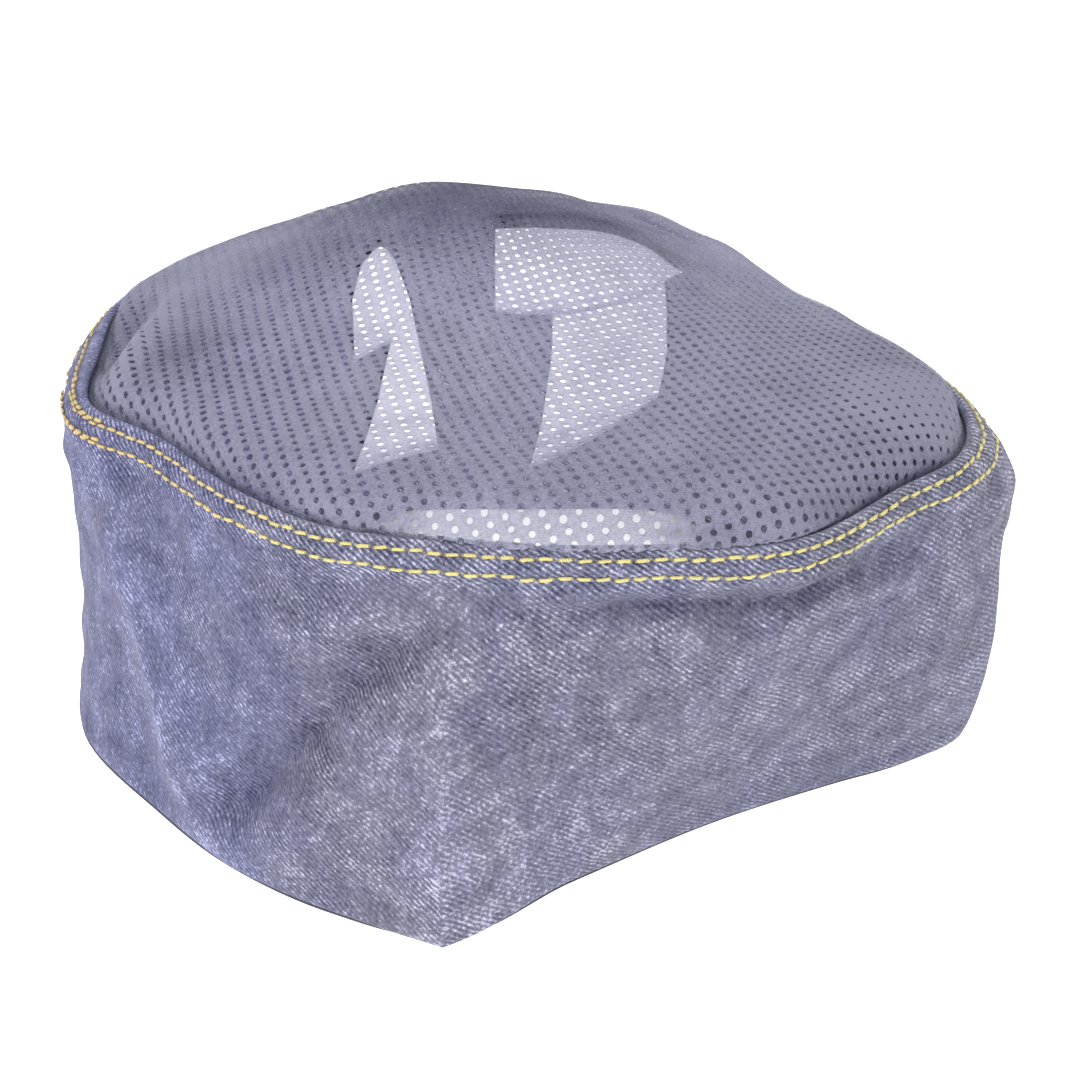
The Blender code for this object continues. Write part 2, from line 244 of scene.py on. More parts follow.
# The knit's thickness, and how far its face sinks at a hole's rim, in metres. Then how see-through
# its single cloth is, the doubled share from which its holes are blind, and the depth of a blind
# hole as a share of the thickness.
KNIT_THICKNESS = 0.0004
KNIT_RELIEF = 0.00010
KNIT_OPENNESS = 0.50
BLIND_FROM = 0.30
BLIND_DEPTH = 0.6

# Thickness of a label's cloth, and the step from one leaf of a folded label to the next
LABEL_CLOTH = 0.0004
LEAF_STEP = 0.0009

# Colours of the cloths: in their shadows, in the open and, for denim, of its palest threads
OUTSIDE_DENIM = ((0.040, 0.042, 0.080), (0.27, 0.27, 0.355), (0.68, 0.68, 0.79))
# The inner face is the denim's own back face, drawn darker than the outer one as a painted shade for the
# inside of the band
INSIDE_DENIM_SHADED = ((0.030, 0.032, 0.062), (0.16, 0.163, 0.23), (0.38, 0.38, 0.46))
KNIT_COLOURS = ((0.052, 0.054, 0.110), (0.41, 0.413, 0.55))
THREAD_SHADOW = (0.18, 0.14, 0.04)
THREAD_YELLOW = (0.84, 0.75, 0.30)
THREAD_GOLD = (0.82, 0.60, 0.25)
TAPE_COLOURS = ((0.26, 0.26, 0.36), (0.89, 0.89, 0.97))

# Unevenness of the cloths: rise and length of the waves in metres, and the seed
CLOTH_WAVES = {
    "wall, slow": (0.00040, 0.034, 3),
    "wall, quick": (0.00016, 0.011, 5),
    "shoulder's puckers": (0.00028, 0.009, 8),
    "crown": (0.00035, 0.030, 11),
}

# How the stitch rows draw the cloth in. Depth of the groove, more at a needle hole, and their half
# widths, all in metres. Then the swells between the rows and by the top edge: rise and half width.
GROOVE_DEPTH = 0.00013
NEEDLE_DEPTH = 0.00022
GROOVE_WIDTH = 0.0009
NEEDLE_WIDTH = 0.0007
ROW_SWELL = (0.00018, 0.0012)
EDGE_SWELL = (0.00022, 0.0014)
EDGE_SWELL_LEVEL = 1.82

# The denim's twill: how it leans, the width of its lines and the length of its dashes
TWILL_TURN = math.radians(36.0)
TWILL_LINE = 0.00100
TWILL_DASH = 0.00150

# The stage: half size and colours of the table, its glow, how far its shaded part inside the hem
# reaches as a share of the hem's plan, and the glow, middle and half sizes of the lit patch there
TABLE_HALF = 3.0
TABLE_COLOUR = (0.8, 0.8, 0.8)
SHADED_COLOUR = (0.18, 0.185, 0.24)
FLOOR_GLOW = 0.95
INSIDE_SHARE = 0.998
INSIDE_GLOW = 0.42
PATCH_CENTRE = (0.004, 0.075)
PATCH_REACH = (0.040, 0.050)

# The lights. Columns: name, place, size, power, and the point that it looks at.
LIGHTS = (
    ("key", (-0.44, -0.84, 0.85), 0.7, 6.7, (0.0, 0.0, 0.04)),
    ("top", (0.25, 0.30, 1.10), 0.8, 3.5, (0.0, 0.0, 0.04)),
    ("inner fill", (0.0, -0.040, 0.030), 0.03, 0.100, (-0.012, 0.09, 0.060)),
)
INNER_SPREAD = math.radians(115)
SKY_STRENGTH = 0.66

# Camera: lens in millimetres, and where it looks from
LENS = 64.8
CAMERA_ELEVATION = math.radians(28.0)
CAMERA_DISTANCE = 0.439
AIM_HEIGHT = 0.0398


def column(table, index):
    """One column of a table as an array."""
    return np.array([row[index] for row in table], dtype=float)


def station_places():
    """The share of the girth at which each upright line stands, and 1 for the first again."""
    total = np.zeros(len(STATIONS) + 1)
    for x_index in (1, 3):
        line = np.stack([column(STATIONS, x_index), column(STATIONS, x_index + 1)], axis=1)
        steps = np.linalg.norm(np.roll(line, -1, axis=0) - line, axis=1)
        total[1:] += np.cumsum(steps)
    return total / total[-1], total[-1] / 2


PLACES, GIRTH_SHARE = station_places()
GIRTH = GIRTH_SHARE * BAND_RADIUS
SHOULDER_LENGTH = math.pi / 4 * (SHOULDER_WIDTH + SHOULDER_DROP)


def unit(vectors):
    """Vectors scaled to a length of 1."""
    return vectors / np.linalg.norm(vectors, axis=-1, keepdims=True)


def smooth_span(t, width, ends, slopes):
    """A smooth curve over one step between knots, read at shares of the step."""
    start = (1 + 2 * t) * (1 - t) ** 2 * ends[0] + t * t * (3 - 2 * t) * ends[1]
    bend = t * (1 - t) ** 2 * slopes[0] - t * t * (1 - t) * slopes[1]
    return start + bend * width


def around(values, place):
    """A smooth closed curve through the stations' values, read at shares of the girth."""
    count = len(values)
    place = np.mod(place, 1.0)
    left = np.clip(np.searchsorted(PLACES, place, side="right") - 1, 0, count - 1)
    width = np.diff(PLACES)
    slope = np.diff(np.append(values, values[0])) / width
    before = np.roll(slope, 1)
    before_width = np.roll(width, 1)
    tangent = (before * width + slope * before_width) / (width + before_width)
    right = (left + 1) % count
    t = (place - PLACES[left]) / width[left]
    return smooth_span(t, width[left], (values[left], values[right]), (tangent[left], tangent[right]))


def smooth_step(value):
    """0 below 0, 1 above 1 and smooth between."""
    value = np.clip(value, 0.0, 1.0)
    return value * value * (3 - 2 * value)


def wrap(gap):
    """A difference of places, the short way round."""
    return np.mod(gap + 0.5, 1.0) - 0.5


def bell(value):
    """A smooth bump of height 1 and half width 1."""
    return np.exp(-value * value)


def wave_noise(points, size, seed, waves=9):
    """Smooth noise in space with about unit height, from plane waves of about one length."""
    random = np.random.default_rng(seed)
    total = np.zeros(points.shape[:-1])
    for _ in range(waves):
        way = random.normal(size=3)
        way *= 2 * math.pi * random.uniform(0.7, 1.4) / (size * np.linalg.norm(way))
        total += np.sin(points @ way + random.uniform(0, 2 * math.pi))
    return total / math.sqrt(waves / 2)


def unevenness(points, name):
    """How far a cloth's waves move it outwards, in metres."""
    rise, size, seed = CLOTH_WAVES[name]
    return rise * wave_noise(points, size, seed)


def fold_rise(place, height):
    """How far the folds and dents move the band outwards, at shares of girth and height."""
    rise = np.zeros(np.broadcast(place, height).shape)
    for _, hem, top, low, high, depth, width, sharp in FOLDS:
        gap = wrap(place - hem - (top - hem) * np.clip(height, 0, 1))
        across = np.exp(-np.abs(gap) / width) if sharp else bell(gap / width)
        fade = smooth_step((height - low) / FOLD_START) * smooth_step((high - height) / FOLD_END)
        rise += depth * across * fade
    for _, middle, level, along, up, depth in DENTS:
        gap = wrap(place - middle)
        rise -= depth * np.exp(-(gap / along) ** 4) * bell((height - level) / up)
    return rise * CREASE_DEPTH


def outline(place, first):
    """The plan of the hem (first column 1) or of the shoulder (first column 3)."""
    line = [around(column(STATIONS, first + axis), place) for axis in (0, 1)]
    return BAND_RADIUS * np.stack(line, axis=-1)


def outward(place):
    """The level direction that points out of the band, midway up."""
    reach = 2 * PLACE_STEP
    ahead, behind = (outline(place + step, 1) + outline(place + step, 3) for step in (reach, -reach))
    along = ahead - behind
    along = unit(along)
    return np.stack([along[..., 1], -along[..., 0]], axis=-1)


def band_point(place, level):
    """The band's outer face: level 0 is the hem, 1 the shoulder's foot and 2 the top edge."""
    place, level = np.broadcast_arrays(np.asarray(place, float), np.asarray(level, float))
    wall = np.clip(level, 0.0, 1.0)
    turn = np.clip(level - 1.0, 0.0, 1.0) * math.pi / 2
    z = (BAND_HEIGHT - SHOULDER_DROP) * wall + SHOULDER_DROP * np.sin(turn)
    turn_in = SHOULDER_WIDTH * around(column(STATIONS, 6), place)
    push = BAND_RADIUS * around(column(STATIONS, 5), place) * 4 * wall * (1 - wall)
    push = push + fold_rise(place, z / BAND_HEIGHT) - turn_in * (1 - np.cos(turn))
    plan = outline(place, 1) * (1 - wall)[..., None] + outline(place, 3) * wall[..., None]
    plan = plan + outward(place) * push[..., None]
    return np.concatenate([plan, z[..., None]], axis=-1)


def band_frame(place, level):
    """Unit vectors out of the band's face and up along it."""
    across = band_point(place + PLACE_STEP, level) - band_point(place - PLACE_STEP, level)
    low = np.clip(level - LEVEL_STEP, 0.0, 2.0)
    high = np.clip(level + LEVEL_STEP, 0.0, 2.0)
    up = band_point(place, high) - band_point(place, low)
    normal = np.cross(across, up)
    normal[..., 2] *= smooth_step(np.asarray(level) / 0.08)
    normal = unit(normal)
    up -= np.sum(up * normal, axis=-1, keepdims=True) * normal
    return normal, unit(up)


def swell(plan):
    """The crown's rise over its edge at a point in plan, before it is faded to the edge."""
    share = plan / BAND_RADIUS
    rise = np.zeros(share.shape[:-1])
    for _, x, y, reach_x, reach_y, height in SWELLS:
        gap = ((share[..., 0] - x) / reach_x) ** 2 + ((share[..., 1] - y) / reach_y) ** 2
        rise += height * np.exp(-gap)
    return rise * CROWN_RISE


def crown_point(place, share, lift):
    """The crown's outer face at a share of the way from its middle to the band's top edge."""
    edge = band_point(place, 2.0)
    plan = edge[..., :2] * share[..., None]
    roll = 1 + (around(column(STATIONS, 7), place) - 1) * np.clip(share, 0, 1)
    fade = np.sqrt(np.clip(1 - share * share, 0, 1))
    z = BAND_HEIGHT + ROLL_HEIGHT * roll * lift + swell(plan) * fade
    return np.concatenate([plan, z[..., None]], axis=-1)


def crown_rows(place):
    """Rows of points over the crown's outer face, from its tucked edge to its middle."""
    rows = []
    for level, depth in TUCK_ROWS:
        levels = np.full_like(place, level)
        normal, _ = band_frame(place, levels)
        rows.append(band_point(place, levels) - normal * BAND_WALL * depth)
    reach = np.linalg.norm(band_point(place, 2.0)[:, :2], axis=1)
    lean = around(column(STATIONS, 8), place)
    for out, more_out, lift, more_lift in ROLL_ROWS:
        share = 1 + (out * ROLL_WIDTH + more_out * ROLL_LEAN * lean) / reach
        rows.append(crown_point(place, share, lift + more_lift * lean))
    rows += [crown_point(place, np.full_like(place, ring), 1.0) for ring in (*CROWN_RINGS, 0.0)]
    return np.stack(rows)


def plan_shift():
    """How far the part was moved in plan to centre it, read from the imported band's box."""
    low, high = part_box("side_band")
    place = np.arange(96) / 96
    levels = np.append(np.linspace(0, 1, 6), (4 / 3, 5 / 3, 2.0))
    points = band_point(place[None, :], levels[:, None]).reshape(-1, 3)
    centre = (points.min(0) + points.max(0)) / 2
    return np.array([(low.x + high.x) / 2 - centre[0], (low.y + high.y) / 2 - centre[1], 0.0])


def crease_rise(place, height):
    """The outward rise of the fine creases at shares of the girth and the height."""
    rise = np.zeros(np.broadcast(place, height).shape)
    for _, place_a, height_a, place_b, height_b, wide, depth in CREASES:
        along_x = wrap(place_b - place_a) * GIRTH
        along_y = (height_b - height_a) * BAND_HEIGHT
        length = math.hypot(along_x, along_y)
        x = wrap(place - place_a) * GIRTH
        y = (height - height_a) * BAND_HEIGHT
        share = (x * along_x + y * along_y) / length ** 2
        across = (x * along_y - y * along_x) / length
        taper = smooth_step(share / 0.25) * smooth_step((1 - share) / 0.25)
        rise += depth * bell(across / wide) * taper
    return rise


def stitch_count(level):
    """How many stitches go round the row at a level."""
    place = np.linspace(0, 1, 721)
    line = band_point(place, np.full_like(place, level))
    return round(float(np.linalg.norm(np.diff(line, axis=0), axis=1).sum()) / STITCH_PITCH)


STITCH_COUNTS = {level: stitch_count(level) for level in STITCH_LEVELS}


def stitch_rise(place, level):
    """How the two rows of stitches draw the cloth in, deepest at each needle hole."""
    rise = np.zeros(np.broadcast(place, level).shape)
    for row in STITCH_LEVELS:
        metres = (level - row) * SHOULDER_LENGTH
        phase = np.mod(place * STITCH_COUNTS[row] + (1 - STITCH_SHARE) / 2 + 0.5, 1.0) - 0.5
        hole = bell(phase * STITCH_PITCH / NEEDLE_WIDTH)
        rise -= bell(metres / GROOVE_WIDTH) * (GROOVE_DEPTH + NEEDLE_DEPTH * hole)
    middle = sum(STITCH_LEVELS) / 2
    for centre, (height, width) in ((middle, ROW_SWELL), (EDGE_SWELL_LEVEL, EDGE_SWELL)):
        rise += height * bell((level - centre) * SHOULDER_LENGTH / width)
    return rise


def cloth_frame(place, level):
    """The dressed band's outer face, with its creases, puckers and stitch rows, and its frame."""
    base = band_point(place, level)
    normal, up = band_frame(place, level)
    height = base[..., 2] / BAND_HEIGHT
    rise = crease_rise(place, height) + stitch_rise(place, level)
    wall = smooth_step(height / 0.08) * smooth_step((1.3 - level) / 0.3)
    rise += unevenness(base, "wall, slow") * wall
    rise += unevenness(base, "wall, quick") * wall
    pucker = bell((level - 1.04) * SHOULDER_LENGTH / 0.0030)
    rise += unevenness(base, "shoulder's puckers") * pucker
    rise -= 0.00035 * pucker
    return base + normal * rise[..., None], normal, up


def linked(points, uv):
    """Quads over a grid of points that closes on itself both ways, as faces and UVs.

    The UV grid has one more row and one more column than the points."""
    rows, columns = points.shape[:2]
    row, col = np.meshgrid(np.arange(rows), np.arange(columns), indexing="ij")
    after, beside = (row + 1) % rows, (col + 1) % columns
    corners = [(row, col), (row, beside), (after, beside), (after, col)]
    faces = np.stack([r * columns + c for r, c in corners], axis=-1).reshape(-1, 4)
    uv_corners = [(row, col), (row, col + 1), (row + 1, col + 1), (row + 1, col)]
    uvs = np.stack([uv[r, c] for r, c in uv_corners], axis=-2).reshape(-1, 4, 2)
    return faces, uvs


def make_piece(name, points, faces, uvs, materials, node=None, slots=None, sharp=None):
    """A piece of the cap from points and faces, riding on the part's one body."""
    data = bpy.data.meshes.new(name)
    data.from_pydata((points + SHIFT).tolist(), [], [list(face) for face in faces])
    layer = data.uv_layers.new(name="cloth")
    layer.uv.foreach_set("vector", np.asarray(uvs, np.float32).ravel())
    for material in materials:
        data.materials.append(material)
    if slots is not None:
        data.polygons.foreach_set("material_index", np.asarray(slots, np.int32))
    data.shade_smooth()
    if sharp is not None:
        data.set_sharp_from_angle(angle=math.radians(sharp))
    data.update()
    piece = bpy.data.objects.new(name, data)
    bpy.context.scene.collection.objects.link(piece)
    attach(piece, "root")
    if node:
        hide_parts(node)
    return piece


def add_float(piece, name, values):
    """A value for each vertex that the materials read by name."""
    attribute = piece.data.attributes.new(name, "FLOAT", "POINT")
    attribute.data.foreach_set("value", np.asarray(values, np.float32).ravel())


def band_levels():
    """Levels of the dressed band's rows, from above the hem to the top edge, closer at the top."""
    wall = BAND_HEIGHT - SHOULDER_DROP
    low = np.linspace(EDGE_RADIUS / wall, 0.88, 44)
    middle = np.linspace(0.88, 1.0, 13)[1:]
    high = np.linspace(1.0, EDGE_LEVEL, 31)[1:]
    return np.concatenate([low, middle, high])


def make_band(outside, inside):
    """The denim band: outer face, rounded top edge, inner face and rounded hem."""
    place = (np.arange(BAND_COLUMNS) / BAND_COLUMNS)[None, :]
    levels = band_levels()
    rows = np.broadcast_to(levels[:, None], (len(levels), BAND_COLUMNS))
    outer, normal, up = cloth_frame(place, rows)
    angles = np.linspace(0, math.pi, EDGE_STEPS + 2)[1:-1]
    centre = outer - normal * EDGE_RADIUS
    turns = [(math.cos(a), math.sin(a)) for a in angles]
    top = [centre[-1] + EDGE_RADIUS * (c * normal[-1] + s * up[-1]) for c, s in turns]
    hem = [centre[0] + EDGE_RADIUS * (-c * normal[0] - s * up[0]) for c, s in turns]
    inner_rows = np.unique(np.append(np.arange(0, len(levels), 3), len(levels) - 1))[::-1]
    inner = (outer - normal * 2 * EDGE_RADIUS)[inner_rows]
    points = np.concatenate([outer, np.stack(top), inner, np.stack(hem)])
    points[..., 2] = np.maximum(points[..., 2], 0.0)
    profile = points[:, BAND_COLUMNS // 2]
    steps = np.linalg.norm(np.roll(profile, -1, axis=0) - profile, axis=1)
    along = np.append(0.0, np.cumsum(steps))
    u, v = np.meshgrid(np.arange(BAND_COLUMNS + 1) / BAND_COLUMNS * GIRTH, along)
    slots = np.zeros(len(points), int)
    slots[len(outer) + EDGE_STEPS // 2:len(points) - EDGE_STEPS // 2] = 1
    faces, uvs = linked(points, np.stack([u, v], axis=-1))
    piece = make_piece("denim_band", points.reshape(-1, 3), faces, uvs, [outside, inside],
                       "side_band", np.repeat(slots, BAND_COLUMNS))
    # Paler where rubbed, and painted shade in the folds and creases
    add_float(piece, "wear_and_shade", band_wear_and_fold_shade(points, len(outer), levels, place))
    # Bluer towards the left side
    add_float(piece, "bluer_to_left", 0.80 * smooth_step((-0.30 - points[..., 0] / BAND_RADIUS) / 0.6))
    crisp = np.zeros(points.shape[:2])
    crisp[:len(outer)] = smooth_step((levels - 0.93) / 0.12)[:, None]
    add_float(piece, "crisp", crisp)
    return piece


def band_wear_and_fold_shade(points, outer_rows, levels, place):
    """Where the denim is rubbed pale, above 0, and where a painted shade darkens its folds and creases,
    below 0.
    """
    wear_and_shade = np.zeros(points.shape[:2])
    height = points[:outer_rows, :, 2] / BAND_HEIGHT
    front = np.exp(-np.abs(wrap(place)) / 0.004) * smooth_step((0.80 - height) / 0.2)
    left = bell(wrap(place - 0.905 + 0.072 * height) / 0.006) * smooth_step((0.85 - height) / 0.2)
    # Painted shade in the valleys of the folds and creases, a little paler where rubbed on their crests
    folds = np.clip(fold_rise(place, height) / CREASE_DEPTH, -1, 0.2)
    creases = np.clip(crease_rise(place, height) / 0.001, -1, 0.3)
    edge = bell((levels[:, None] - 1.8) / 0.16) + 0.5 * bell(height / 0.02)
    front_low = bell(wrap(place - 0.035) / 0.045) * bell((height - 0.16) / 0.24)
    rubbed = 0.34 * front_low + 0.20 * front + 0.14 * left + 0.4 * edge
    wear_and_shade[:outer_rows] = rubbed + 0.6 * folds + 0.5 * creases
    wear_and_shade[outer_rows:] = 0.3
    return wear_and_shade


def meridians(place):
    """The crown's outer face as points and normals, by place and by share of the way out."""
    rows = crown_rows(place)[::-1]
    steps = np.linalg.norm(np.diff(rows, axis=0), axis=-1)
    along = np.concatenate([np.zeros((1, len(place))), np.cumsum(steps, axis=0)])
    shares = np.linspace(0, 1, 241)
    grid = np.empty((len(place), len(shares), 3))
    for index in range(len(place)):
        grid[index] = smooth_line(along[:, index], rows[:, index], shares * along[-1, index])
    around_grid = np.roll(grid, -1, axis=0) - np.roll(grid, 1, axis=0)
    out_grid = np.gradient(grid, axis=1)
    normal = np.cross(out_grid, around_grid)
    normal[:, :2] = (0, 0, 1)
    normal = unit(normal)
    neck = along[-len(TUCK_ROWS)] / along[-1]
    return grid, normal, along[-1], neck


def smooth_line(knots, points, where):
    """A smooth curve through points at growing knots, read at distances along it."""
    width = np.diff(knots)[:, None]
    slope = np.diff(points, axis=0) / width
    tangent = np.concatenate([slope[:1], (slope[:-1] * width[1:] + slope[1:] * width[:-1])
                              / (width[1:] + width[:-1]), slope[-1:]])
    left = np.clip(np.searchsorted(knots, where, side="right") - 1, 0, len(knots) - 2)
    t = ((where - knots[left]) / width[left, 0])[:, None]
    ends = (points[left], points[left + 1])
    return smooth_span(t, width[left], ends, (tangent[left], tangent[left + 1]))


def read_grid(grid, row, share):
    """Values of a grid, whose first axis closes on itself, at fractional positions."""
    count, steps = grid.shape[:2]
    row = np.mod(row, count)
    low = np.floor(row).astype(int) % count
    a = (row - np.floor(row))[..., None]
    position = np.clip(share, 0, 1) * (steps - 1)
    near = np.minimum(position.astype(int), steps - 2)
    b = (position - near)[..., None]
    high = (low + 1) % count
    first = grid[low, near] * (1 - b) + grid[low, near + 1] * b
    second = grid[high, near] * (1 - b) + grid[high, near + 1] * b
    return first * (1 - a) + second * a


class CrownSheet:
    """The crown's face, read at points of the flat cloth that it was cut from."""

    def __init__(self):
        self.place = np.arange(720) / 720
        self.grid, self.normal, self.length, self.neck = meridians(self.place)
        edge = band_point(self.place, 2.0)
        angle = np.unwrap(np.arctan2(edge[:, 1], edge[:, 0]))
        self.angle = np.append(angle, angle[0] + 2 * math.pi)

    def locate(self, flat):
        """The fractional row of the grid and the share of the way out for flat points."""
        angle = np.arctan2(flat[..., 1], flat[..., 0])
        angle = np.mod(angle - self.angle[0], 2 * math.pi) + self.angle[0]
        row = np.interp(angle, self.angle, np.arange(len(self.angle)))
        length = np.interp(row, np.arange(len(self.angle)), np.append(self.length, self.length[0]))
        return row, np.linalg.norm(flat, axis=-1) / length

    def neck_at(self, row):
        """The share of the way out at which the cloth dips under the band, at rows of the grid."""
        return np.interp(row, np.arange(len(self.neck) + 1), np.append(self.neck, self.neck[0]))

    def point(self, flat, depth):
        """Points of the cloth at a depth under its outer face."""
        row, share = self.locate(flat)
        base = read_grid(self.grid, row, share)
        normal = read_grid(self.normal, row, share)
        normal = unit(normal)
        return base + normal * (crown_relief(base)[..., None] - depth[..., None])


def crown_creases(points, index):
    """The sum over the crown's creases of a column of their table, faded over each."""
    total = np.zeros(points.shape[:-1])
    for crease in CROWN_CREASES:
        x_a, y_a, x_b, y_b, wide = crease[1:6]
        way = np.array([x_b - x_a, y_b - y_a]) * BAND_RADIUS
        length = float(np.linalg.norm(way))
        gap = points[..., :2] - np.array([x_a, y_a]) * BAND_RADIUS
        share = gap @ way / length ** 2
        across = (gap[..., 0] * way[1] - gap[..., 1] * way[0]) / length
        fade = smooth_step(share / 0.3) * smooth_step((1 - share) / 0.3)
        total += crease[index] * bell(across / wide) * fade
    return total


def crown_relief(points):
    """The rise of the crown's soft creases and waves over its smooth face."""
    rise = unevenness(points, "crown") + crown_creases(points, 6)
    return rise * smooth_step((points[..., 2] - BAND_HEIGHT) / ROLL_HEIGHT)


def on_lattice(i, j):
    """Flat points at counts of steps along the rows and down the columns of holes."""
    x = i * ROW_STEP[0] + j * COLUMN_STEP[0]
    y = i * ROW_STEP[1] + j * COLUMN_STEP[1]
    pull = LATTICE_PULL * np.tanh(x / (BAND_RADIUS / 2)) * (y - LATTICE_STILL)
    return np.stack([x - pull, y], axis=-1)


def lattice_cells():
    """Counts of steps to each hole within reach, along the rows and down the columns."""
    count = int(LATTICE_REACH / abs(COLUMN_STEP[1]))
    j, i = np.mgrid[-count:count + 1, -count:count + 1]
    return i.ravel(), j.ravel()


def crown_cells(sheet):
    """The knit's cells inside the crown's edge: their counts, and rows and shares of the way out."""
    i, j = lattice_cells()
    row, share = sheet.locate(on_lattice(i, j))
    inside = share < 0.995
    return i[inside], j[inside], row[inside], share[inside]


def cell_corners(sheet, i, j):
    """The cells' shared corners, as counts and flat points, and which of them each cell has."""
    keys = np.stack([np.stack([3 * i + round(3 * a), 3 * j + round(3 * b)], axis=-1)
                     for a, b in CELL_CORNERS], axis=1)
    corners, which = np.unique(keys.reshape(-1, 2), axis=0, return_inverse=True)
    hexes = on_lattice(corners[:, 0] / 3, corners[:, 1] / 3)
    _, out = sheet.locate(hexes)
    hexes = hexes * np.minimum(1.0, 1.0 / np.maximum(out, 1e-9))[:, None]
    return corners, hexes, which.reshape(-1, 6)


def make_crown(material):
    """The open knit crown: one closed sheet of six-cornered cells, each with its own hole."""
    sheet = CrownSheet()
    i, j, row, share = crown_cells(sheet)
    cells = on_lattice(i, j)
    neck = sheet.neck_at(row)
    open_cells = np.flatnonzero(share < neck + 0.004)
    doubled = doubled_share(sheet, cells)
    seam = bell((share - neck) / SEAM_REACH)
    corners, hexes, which = cell_corners(sheet, i, j)
    scale = (1 - 0.40 * doubled + 0.05 * seam) * close_scale(cells)
    offsets = hole_rings(i[open_cells], scale[open_cells])
    rings = cells[open_cells][:, None] + offsets
    flat = np.concatenate([hexes, rings.reshape(-1, 2)])
    rim = np.concatenate([np.zeros(len(hexes)), np.ones(len(flat) - len(hexes))])
    blind = doubled[open_cells] > BLIND_FROM
    lift = np.repeat(blind * (1 - BLIND_DEPTH), HOLE_CORNERS)
    depth = KNIT_THICKNESS * (1 - np.concatenate([np.zeros(len(hexes)), lift]))
    top = sheet.point(flat, rim * KNIT_RELIEF)
    bottom = sheet.point(flat, depth - rim * KNIT_RELIEF * 0.3)
    faces = knit_faces(which, open_cells, blind, len(hexes), len(flat))
    uv = np.concatenate([flat, flat])
    uvs = np.concatenate([uv[face] for face in faces])
    piece = make_piece("knit_crown", np.concatenate([top, bottom]), faces, uvs, [material],
                       "crown_mesh", sharp=50)
    area = ROW_STEP[0] * COLUMN_STEP[1] - ROW_STEP[1] * COLUMN_STEP[0]
    local = offsets @ np.array([COLUMN_STEP[1], -COLUMN_STEP[0]]) / area
    count = np.concatenate([corners[:, 0] / 3, (i[open_cells][:, None] + local).ravel()])
    row, share = sheet.locate(flat)
    # Painted shade: a dark line along the seam, added to the painted shade and light over the crown
    painted_seam_shade = smooth_step((share - sheet.neck_at(row)) / SEAM_REACH + 1.2)
    shade = np.clip(crown_shade(top) + 1.3 * painted_seam_shade, -1.0, 1.8)
    looks = {"rim": rim, "shade": shade, "doubled": doubled_share(sheet, flat), "column": count}
    for name, values in looks.items():
        add_float(piece, name, np.tile(values, 2))
    return piece


def close_scale(flat):
    """How large the holes are at flat points, as a share of their full size."""
    scale = np.ones(len(flat))
    for _, x, y, reach, smaller in CLOSE_KNIT:
        gap = np.linalg.norm(flat / BAND_RADIUS - np.array([x, y]), axis=-1)
        scale *= 1 - smaller * bell(gap / reach)
    return scale


def doubled_share(sheet, flat):
    """How far the cloth at flat points lies on the back slope, where it is doubled and closer."""
    row, share = sheet.locate(flat)
    normal = read_grid(sheet.normal, row, share)
    normal = unit(normal)
    return smooth_step((normal[..., 1] * 0.88 - normal[..., 2] * 0.47) / 0.12 + 0.9)


def hole_rings(column_count, scale):
    """Points of the holes' rims round their middles, wider and narrower in turn."""
    random = np.random.default_rng(21)
    angle = (np.arange(HOLE_CORNERS) + 0.5) * 2 * math.pi / HOLE_CORNERS
    ring = np.stack([np.cos(angle), np.sin(angle) * 1.1], axis=-1)
    radius = np.where(column_count % 2 == 0, *HOLE_RADII) * scale
    radius *= random.uniform(0.93, 1.07, len(column_count))
    return ring[None] * radius[:, None, None]


def crown_shade(points):
    """Painted shade over the knit, below 0 painted light: at the back top, in the left hollow and on the
    creases.
    """
    x, y = points[:, 0] / BAND_RADIUS, points[:, 1] / BAND_RADIUS
    # Painted shade at the back top and in the hollow at the left
    back = smooth_step((y - 0.02) / 0.42) * bell((x + 0.22) / 0.50)
    left = 1.15 * bell((x + 0.80) / 0.12) * bell((y + 0.06) / 0.15)
    return 2.0 * back + left + crown_creases(points, 7) - 0.36


def knit_faces(which, open_cells, blind, hexes, layer):
    """Faces of the sheet's two sides, of the holes' walls and of its outer edge.

    A blind hole has a floor, and whole cloth behind it."""
    is_open = np.zeros(len(which), bool)
    is_open[open_cells] = True
    faces = []
    for corners in which[~is_open]:
        corners = corners.tolist()[::-1]
        faces.append(corners)
        faces.append([c + layer for c in corners[::-1]])
    per_corner = ring_fan()
    for order, cell in enumerate(open_cells):
        base = hexes + order * HOLE_CORNERS
        for face in per_corner:
            made = [int(which[cell][k]) if kind == "hex" else base + k for kind, k in face]
            faces.append(made)
            if not blind[order]:
                faces.append([c + layer for c in made[::-1]])
        if blind[order]:
            faces.append([base + k + layer for k in range(HOLE_CORNERS)])
            faces.append([int(c) + layer for c in which[cell]])
        for k in range(HOLE_CORNERS):
            a, b = base + k, base + (k + 1) % HOLE_CORNERS
            faces.append([b, a, a + layer, b + layer])
    return faces + edge_faces(which, layer)


def ring_fan():
    """Triangles between a cell's six corners and the corners of its hole, by their bearings."""
    at = [on_lattice(a, b) for a, b in CELL_CORNERS]
    marks = [(math.atan2(p[1], p[0]) % (2 * math.pi), "hex", k) for k, p in enumerate(at)]
    marks += [((k + 0.5) * 2 * math.pi / HOLE_CORNERS, "ring", k) for k in range(HOLE_CORNERS)]
    marks.sort()
    hex_now = [k for _, kind, k in marks if kind == "hex"][-1]
    ring_now = HOLE_CORNERS - 1
    faces = []
    for _, kind, k in marks:
        if kind == "hex":
            faces.append([("hex", hex_now), ("hex", k), ("ring", ring_now)])
            hex_now = k
        else:
            faces.append([("hex", hex_now), ("ring", k), ("ring", ring_now)])
            ring_now = k
    return faces


